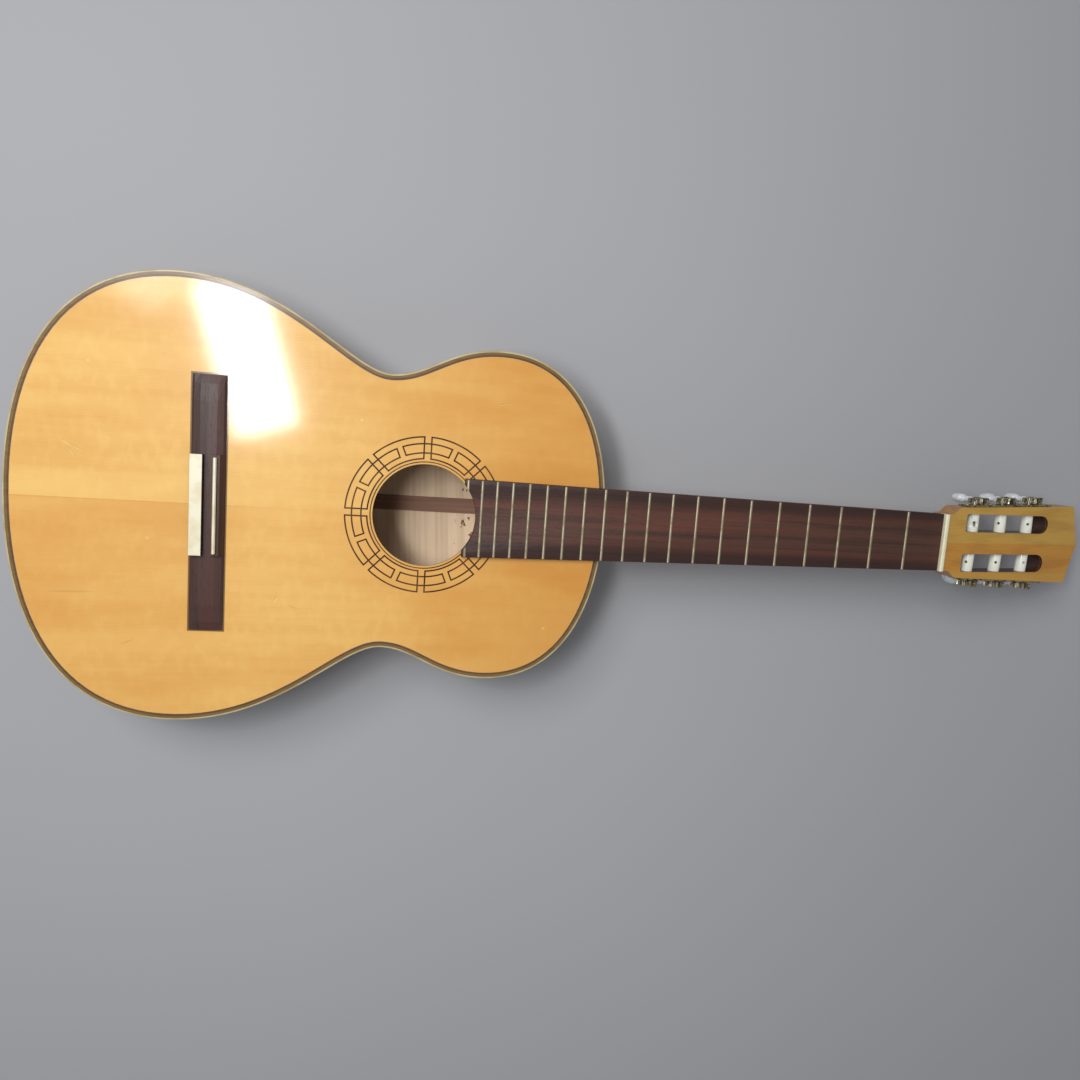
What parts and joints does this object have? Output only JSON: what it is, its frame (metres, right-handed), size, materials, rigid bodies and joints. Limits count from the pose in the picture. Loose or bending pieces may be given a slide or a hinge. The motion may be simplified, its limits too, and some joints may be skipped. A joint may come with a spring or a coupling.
{
  "type": "classical guitar",
  "caption": "Worn stringless classical guitar on its back: hollow body with soundhole and inlaid rosette, slotted head, and keys that turn the string rollers through worm gears.",
  "frame": {"origin": "middle of the bounding box in plan, on the surface that the back lies on", "axes": "+X from the tail to the tip of the head, +Y to the bass side, +Z out of the soundboard"},
  "size_m": [0.987, 0.3706, 0.1072],
  "materials": {
    "spruce_top": "gloss varnish, dented and scratched",
    "rosette_marquetry": "gloss varnish",
    "purfling_brown": "gloss varnish",
    "body_rosewood": "gloss varnish outside, raw and stained inside",
    "rosewood_dark": "satin, dry",
    "pale_wood": "raw",
    "cedar_neck": "satin varnish",
    "head_veneer": "gloss varnish, worn",
    "ivory_plastic": "yellowed",
    "roller_plastic": "yellowed, the sixth sleeve broken",
    "pearl_plastic": "pearl",
    "aged_brass": "tarnished"
  },
  "bodies": {
    "guitar": {"soundboard": "spruce_top", "rosette": "rosette_marquetry", "top_purfling": "purfling_brown", "top_binding": "ivory_plastic", "back": "body_rosewood", "back_strip": "rosewood_dark", "back_binding": "ivory_plastic", "rib_bass": "body_rosewood", "rib_treble": "body_rosewood", "end_graft": "ivory_plastic", "top_lining_bass": "pale_wood", "top_lining_treble": "pale_wood", "back_lining_bass": "pale_wood", "back_lining_treble": "pale_wood", "tail_block": "cedar_neck", "harmonic_bar_lower": "pale_wood", "harmonic_bar_upper": "pale_wood", "fan_strut_1": "pale_wood", "fan_strut_2": "pale_wood", "fan_strut_3": "pale_wood", "fan_strut_4": "pale_wood", "fan_strut_5": "pale_wood", "back_bar_1": "pale_wood", "back_bar_2": "pale_wood", "back_bar_3": "pale_wood", "neck": "cedar_neck", "heel_cap": "rosewood_dark", "head": "cedar_neck", "headplate": "head_veneer", "fingerboard": "rosewood_dark", "nut": "ivory_plastic", "bridge": "rosewood_dark", "saddle": "ivory_plastic", "tie_block_inlay": "ivory_plastic", "tuner_plate_bass": "aged_brass", "tuner_plate_treble": "aged_brass"},
    "tuning_key_1": {"worm_shaft_1": "aged_brass", "button_1": "pearl_plastic"},
    "tuning_key_2": {"worm_shaft_2": "aged_brass", "button_2": "pearl_plastic"},
    "tuning_key_3": {"worm_shaft_3": "aged_brass", "button_3": "pearl_plastic"},
    "tuning_key_4": {"worm_shaft_4": "aged_brass", "button_4": "pearl_plastic"},
    "tuning_key_5": {"worm_shaft_5": "aged_brass", "button_5": "pearl_plastic"},
    "tuning_key_6": {"worm_shaft_6": "aged_brass", "button_6": "pearl_plastic"},
    "string_post_1": {"roller_1": "roller_plastic", "gear_1": "aged_brass"},
    "string_post_2": {"roller_2": "roller_plastic", "gear_2": "aged_brass"},
    "string_post_3": {"roller_3": "roller_plastic", "gear_3": "aged_brass"},
    "string_post_4": {"roller_4": "roller_plastic", "gear_4": "aged_brass"},
    "string_post_5": {"roller_5": "roller_plastic", "gear_5": "aged_brass"},
    "string_post_6": {"roller_6": "roller_plastic", "gear_6": "aged_brass"}
  },
  "joints": [
    {"name": "key_turn_1", "type": "hinge", "parent": "guitar", "child": "tuning_key_1", "pos_m": [0.37054, -0.04013, 0.084], "axis": [0.2069, 0, 0.9784], "continuous": true},
    {"name": "key_turn_2", "type": "hinge", "parent": "guitar", "child": "tuning_key_2", "pos_m": [0.40476, -0.04129, 0.07676], "axis": [0.2069, 0, 0.9784], "continuous": true},
    {"name": "key_turn_3", "type": "hinge", "parent": "guitar", "child": "tuning_key_3", "pos_m": [0.43899, -0.04246, 0.06953], "axis": [0.2069, 0, 0.9784], "continuous": true},
    {"name": "key_turn_4", "type": "hinge", "parent": "guitar", "child": "tuning_key_4", "pos_m": [0.43899, 0.04246, 0.06953], "axis": [0.2069, 0, 0.9784], "continuous": true},
    {"name": "key_turn_5", "type": "hinge", "parent": "guitar", "child": "tuning_key_5", "pos_m": [0.40476, 0.04129, 0.07676], "axis": [0.2069, 0, 0.9784], "continuous": true},
    {"name": "key_turn_6", "type": "hinge", "parent": "guitar", "child": "tuning_key_6", "pos_m": [0.37054, 0.04013, 0.084], "axis": [0.2069, 0, 0.9784], "continuous": true},
    {"name": "post_turn_1", "type": "hinge", "parent": "guitar", "child": "string_post_1", "pos_m": [0.3627, -0.03436, 0.08566], "axis": [0.0325, 0.9994, -0.0069], "continuous": true},
    {"name": "post_turn_2", "type": "hinge", "parent": "guitar", "child": "string_post_2", "pos_m": [0.39693, -0.03552, 0.07842], "axis": [0.0325, 0.9994, -0.0069], "continuous": true},
    {"name": "post_turn_3", "type": "hinge", "parent": "guitar", "child": "string_post_3", "pos_m": [0.43115, -0.03669, 0.07118], "axis": [0.0325, 0.9994, -0.0069], "continuous": true},
    {"name": "post_turn_4", "type": "hinge", "parent": "guitar", "child": "string_post_4", "pos_m": [0.43115, 0.03669, 0.07118], "axis": [-0.0325, 0.9994, 0.0069], "continuous": true},
    {"name": "post_turn_5", "type": "hinge", "parent": "guitar", "child": "string_post_5", "pos_m": [0.39693, 0.03552, 0.07842], "axis": [-0.0325, 0.9994, 0.0069], "continuous": true},
    {"name": "post_turn_6", "type": "hinge", "parent": "guitar", "child": "string_post_6", "pos_m": [0.3627, 0.03436, 0.08566], "axis": [-0.0325, 0.9994, 0.0069], "continuous": true}
  ],
  "couplings": [
    {"joint": "post_turn_1", "follows": "key_turn_1", "ratio": -0.071429},
    {"joint": "post_turn_2", "follows": "key_turn_2", "ratio": -0.071429},
    {"joint": "post_turn_3", "follows": "key_turn_3", "ratio": -0.071429},
    {"joint": "post_turn_4", "follows": "key_turn_4", "ratio": 0.071429},
    {"joint": "post_turn_5", "follows": "key_turn_5", "ratio": 0.071429},
    {"joint": "post_turn_6", "follows": "key_turn_6", "ratio": 0.071429}
  ]
}
